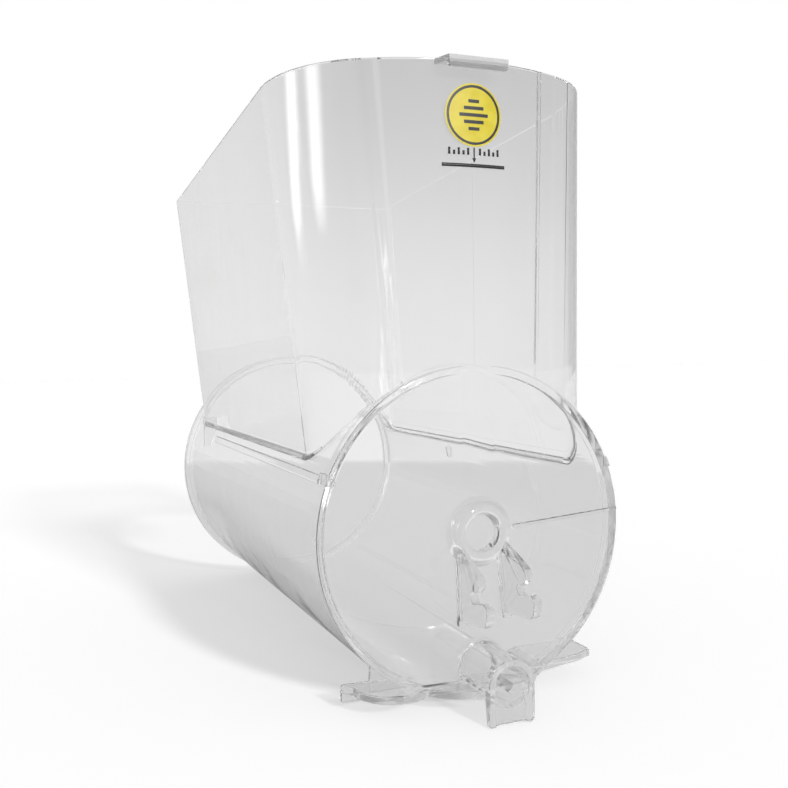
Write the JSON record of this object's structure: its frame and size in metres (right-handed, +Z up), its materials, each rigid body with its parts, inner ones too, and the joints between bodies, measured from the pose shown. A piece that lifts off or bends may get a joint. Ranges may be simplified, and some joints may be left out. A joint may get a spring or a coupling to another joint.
{
  "type": "drink dispenser bowl",
  "caption": "Clear bowl of a drink dispenser: a horizontal drum with a tall open hopper, a short outlet spout and notched lever ears at the front, and an open rear mouth.",
  "frame": {"origin": "centre of the drum's rear mouth, in the plane of the collar's rear face", "axes": "+Y along the drum's axis out of the rear mouth, so the front disc faces -Y; +X to the right seen from the front; +Z up towards the hopper's mouth"},
  "size_m": [0.1938, 0.394, 0.3435],
  "materials": {
    "clear_plastic": "clear, polished",
    "label_print": "printed film",
    "line_print": "printed film"
  },
  "bodies": {
    "root": {"drum_barrel": "clear_plastic", "drum_front_ring": "clear_plastic", "drum_rear_ring": "clear_plastic", "rear_collar": "clear_plastic", "front_cap": "clear_plastic", "hopper_front_wall": "clear_plastic", "hopper_left_wall": "clear_plastic", "hopper_right_wall": "clear_plastic", "hopper_rear_wall": "clear_plastic", "lid_catch_tab": "clear_plastic", "bearing_boss": "clear_plastic", "leg_rib_left": "clear_plastic", "leg_rib_right": "clear_plastic", "lever_ear_left": "clear_plastic", "lever_ear_right": "clear_plastic", "disc_rib": "clear_plastic", "outlet_tube": "clear_plastic", "drip_channel": "clear_plastic", "base_plate_left": "clear_plastic", "base_plate_right": "clear_plastic", "base_web": "clear_plastic", "base_foot": "clear_plastic", "side_rail": "clear_plastic", "rim_block_left": "clear_plastic", "rim_block_right": "clear_plastic", "side_lug_left": "clear_plastic", "side_lug_right": "clear_plastic", "fill_label": "label_print", "level_mark": "line_print"}
  },
  "joints": []
}
